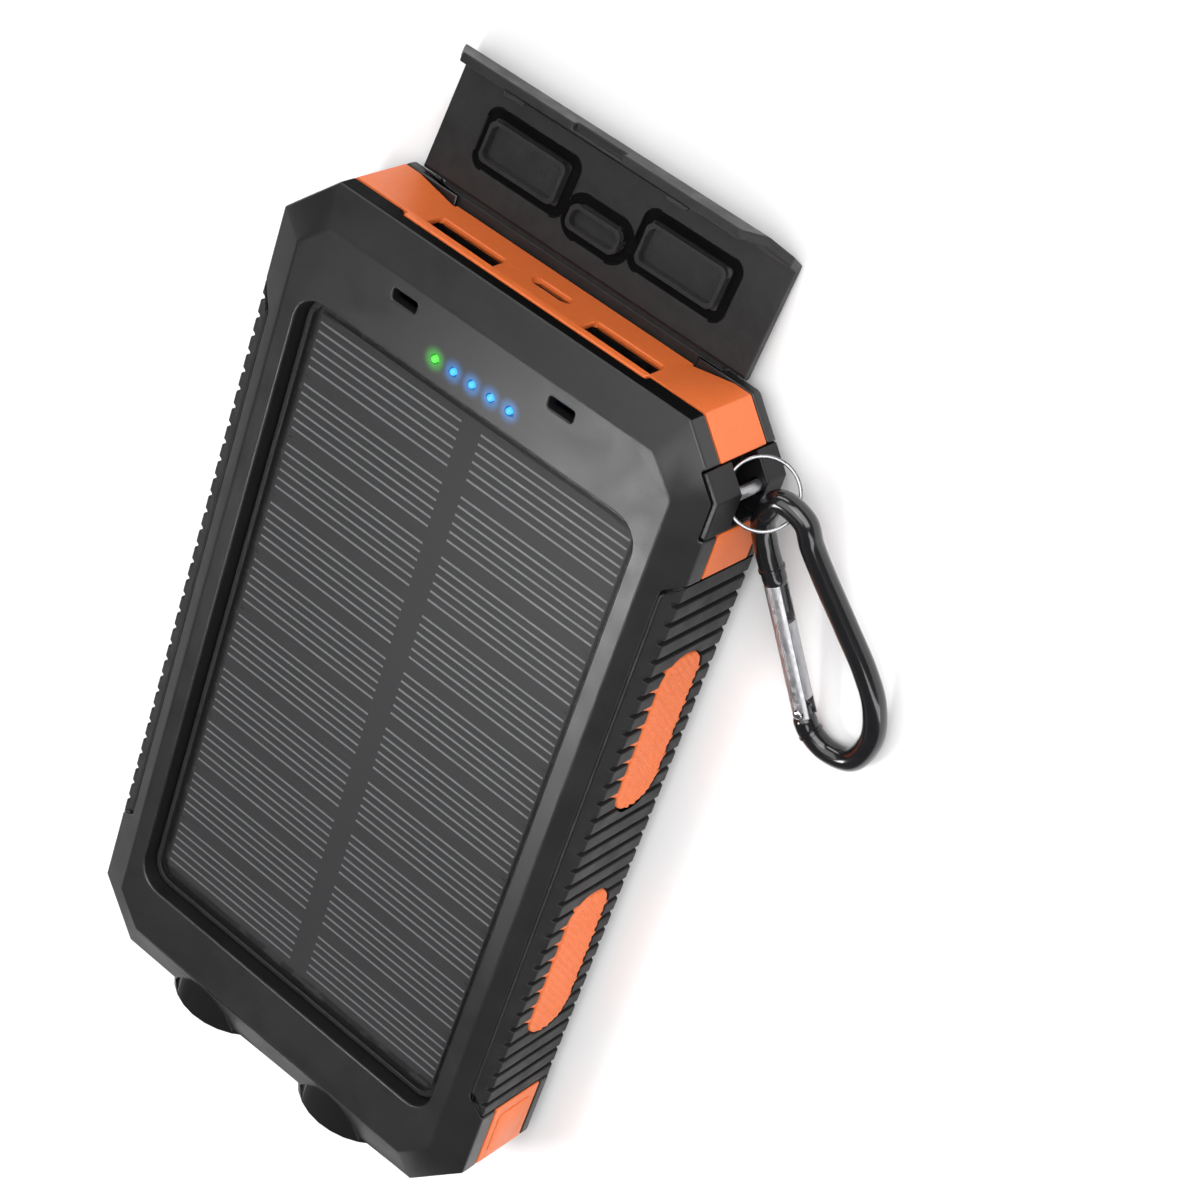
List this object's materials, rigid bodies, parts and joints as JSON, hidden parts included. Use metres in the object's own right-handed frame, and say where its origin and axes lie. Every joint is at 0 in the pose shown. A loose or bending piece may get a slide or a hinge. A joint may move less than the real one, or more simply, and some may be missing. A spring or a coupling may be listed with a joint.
{
  "type": "solar power bank",
  "caption": "Rugged solar phone charger: a solar panel in front, rubber side grips, torches at one end, covered charging ports at the other, and a carabiner on a split ring.",
  "frame": {"origin": "centre of the flat back face, on which the charger lies", "axes": "+Z out of the front, which carries the solar panel; +Y towards the end with the charging ports; -Y towards the torches; +X towards the side with the lug and the carabiner"},
  "size_m": [0.1078, 0.1674, 0.0221],
  "materials": {
    "front_grey": "fine matte grain, dark grey",
    "frame_orange": "satin orange",
    "rubber_black": "ribbed matte rubber",
    "cover_rubber": "smooth matte rubber",
    "pad_orange": "diamond-textured orange rubber",
    "plastic_black": "satin black",
    "solar_silicon": "silicon cells under fine silver lines",
    "clear_sheet": "clear glossy sheet",
    "nickel": "bright nickel plate",
    "black_enamel": "gloss black enamel",
    "mirror_film": "vacuum-metallised reflector",
    "lens_clear": "frosted clear lens",
    "led_phosphor": "yellow phosphor on a white board",
    "circuit_board": "green solder mask",
    "pouch_foil": "aluminised battery pouch",
    "wire_red": "red insulation",
    "wire_black": "black insulation",
    "light_green": "glowing green light guide",
    "light_blue": "glowing blue light guide"
  },
  "bodies": {
    "case": {"back_shell": "front_grey", "front_bezel": "front_grey", "middle_frame": "frame_orange", "case_screw_front_right": "nickel", "case_screw_front_left": "nickel", "case_screw_rear_right": "nickel", "case_screw_rear_left": "nickel", "side_grip_right": "rubber_black", "side_grip_left": "rubber_black", "grip_pad_right_rear": "pad_orange", "grip_pad_right_front": "pad_orange", "grip_pad_left_rear": "pad_orange", "panel_board": "plastic_black", "panel_gasket": "rubber_black", "solar_cells_left": "solar_silicon", "solar_cells_right": "solar_silicon", "panel_cover_sheet": "clear_sheet", "indicator_light_1": "light_green", "indicator_light_2": "light_blue", "indicator_light_3": "light_blue", "indicator_light_4": "light_blue", "indicator_light_5": "light_blue", "usb_socket_left": "nickel", "usb_socket_right": "nickel", "charge_socket": "nickel", "usb_tongue_left": "plastic_black", "usb_tongue_right": "plastic_black", "charge_tongue": "plastic_black", "button_switch": "plastic_black", "main_board": "circuit_board", "battery_cell_lower": "pouch_foil", "battery_cell_upper": "pouch_foil", "battery_lead_red": "wire_red", "torch_lead_right": "wire_red", "battery_lead_black": "wire_black", "torch_lead_left": "wire_black", "torch_lens_left": "lens_clear", "torch_lens_right": "lens_clear", "torch_reflector_left": "mirror_film", "torch_reflector_right": "mirror_film", "torch_led_left": "led_phosphor", "torch_led_right": "led_phosphor", "cover_strip": "cover_rubber", "lug_block": "plastic_black", "lug_post": "nickel"},
    "port_cover": {"port_cover": "cover_rubber"},
    "power_button": {"power_button": "pad_orange"},
    "split_ring": {"split_ring": "nickel"},
    "carabiner": {"carabiner_hook": "black_enamel", "gate_pivot_pin": "nickel"},
    "carabiner_gate": {"carabiner_gate": "nickel"}
  },
  "joints": [
    {"name": "port_cover_hinge", "type": "hinge", "parent": "case", "child": "port_cover", "pos_m": [0, 0.07265, 0.0038], "axis": [1, 0, 0], "range_deg": [-9, 100]},
    {"name": "power_button_press", "type": "slide", "parent": "case", "child": "power_button", "axis": [1, 0, 0], "range_m": [0, 0.0006], "stiffness_N_per_m": 1500, "springref_m": -0.0005},
    {"name": "split_ring_swivel", "type": "hinge", "parent": "case", "child": "split_ring", "pos_m": [0.0385, 0.0617, 0.0109], "axis": [0, 0, 1], "range_deg": [-4, 10]},
    {"name": "carabiner_swing", "type": "hinge", "parent": "split_ring", "child": "carabiner", "pos_m": [0.04367, 0.06317, 0.01008], "axis": [-0.8796, -0.4756, 0], "range_deg": [-14, 5]},
    {"name": "carabiner_gate_hinge", "type": "hinge", "parent": "carabiner", "child": "carabiner_gate", "pos_m": [0.05543, 0.03353, 0.00346], "axis": [0.0973, -0.1799, 0.9789], "range_deg": [-16, 0], "stiffness_Nm_per_rad": 0.02, "springref_deg": 28.65}
  ]
}
